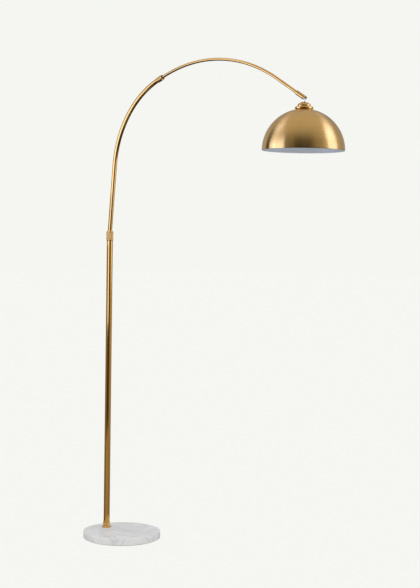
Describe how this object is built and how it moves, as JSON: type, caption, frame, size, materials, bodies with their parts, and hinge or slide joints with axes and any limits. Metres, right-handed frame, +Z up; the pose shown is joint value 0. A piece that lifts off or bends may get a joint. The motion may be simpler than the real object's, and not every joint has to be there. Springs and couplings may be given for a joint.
{
  "type": "arc floor lamp",
  "caption": "Arc floor lamp: round marble base, offset brass pole, two-part curved arm with screw collars, and a tilting half-round metal shade, white inside, with a screw bulb.",
  "frame": {"origin": "on the floor under the middle of the round base", "axes": "+Z up along the pole, +X from the pole towards the shade, the arm in the XZ plane"},
  "size_m": [1.0921, 0.279, 1.7009],
  "materials": {
    "marble": "honed white marble with faint grey veins",
    "base_foam": "matt black foam rubber",
    "brushed_brass_tube": "steel tube with a satin brushed brass finish",
    "brushed_brass": "satin brushed brass",
    "brass_shade": "spun aluminium with a satin brushed brass finish",
    "bright_brass": "polished brass",
    "white_enamel": "satin white enamel",
    "zinc_steel": "zinc-plated steel",
    "black_nylon": "black nylon",
    "white_nylon": "natural white nylon",
    "holder_plastic": "white thermoset plastic",
    "ceramic_insert": "unglazed porcelain",
    "bulb_plastic": "white bulb housing",
    "bulb_nickel": "nickel-plated screw cap",
    "opal_globe": "opal diffuser",
    "lead_sheath": "clear and white two-core inner lead"
  },
  "bodies": {
    "stand": {"base_slab": "marble", "base_pad": "base_foam", "base_nut": "zinc_steel", "base_lock_washer": "zinc_steel", "base_washer": "zinc_steel", "base_stud": "zinc_steel", "cord_gland": "black_nylon", "pole_bottom_bush": "zinc_steel", "pole": "brushed_brass_tube", "pole_foot": "brushed_brass", "pole_top_bush": "zinc_steel", "thrust_washer": "white_nylon", "pole_lead": "lead_sheath"},
    "pole_collar": {"pole_collar": "brushed_brass"},
    "arm": {"lower_arc": "brushed_brass_tube", "arm_shoulder_ring": "zinc_steel", "swivel_stop_pin": "zinc_steel", "spigot_grommet": "white_nylon", "arc_bush": "zinc_steel", "arc_collet": "black_nylon", "upper_arc": "brushed_brass_tube", "end_barrel": "brushed_brass", "tilt_screws": "zinc_steel", "barrel_grub_screw": "zinc_steel", "arm_lead": "lead_sheath"},
    "arc_collar": {"arc_collar": "brushed_brass"},
    "head": {"head_stem": "bright_brass", "dome_cap": "brushed_brass", "cap_ring": "brass_shade", "shade": "brass_shade", "shade_lining": "white_enamel", "shade_washer": "zinc_steel", "shade_nut": "zinc_steel", "holder_cap": "holder_plastic", "holder_body": "holder_plastic", "holder_insert": "ceramic_insert", "holder_contact": "bright_brass", "holder_screw_shell": "bright_brass", "head_lead": "lead_sheath"},
    "bulb": {"bulb_cap": "bulb_nickel", "bulb_body": "bulb_plastic", "bulb_globe": "opal_globe"}
  },
  "joints": [
    {"name": "arm_swivel", "type": "hinge", "parent": "stand", "child": "arm", "pos_m": [-0.0825, 0, 1.08], "axis": [0, 0, 1], "range_deg": [-160, 160]},
    {"name": "pole_collar_turn", "type": "hinge", "parent": "stand", "child": "pole_collar", "pos_m": [-0.0825, 0, 1.095], "axis": [0, 0, 1], "range_deg": [-180, 180]},
    {"name": "arc_collar_turn", "type": "hinge", "parent": "arm", "child": "arc_collar", "pos_m": [0.1679, 0, 1.64839], "axis": [0.9278, 0, 0.373], "range_deg": [-180, 180]},
    {"name": "head_tilt", "type": "hinge", "parent": "arm", "child": "head", "pos_m": [0.81736, 0, 1.54279], "axis": [0, -1, 0], "range_deg": [-30, 55]},
    {"name": "bulb_turn", "type": "hinge", "parent": "head", "child": "bulb", "pos_m": [0.81736, 0, 1.45], "axis": [0, 0, 1], "continuous": true}
  ]
}
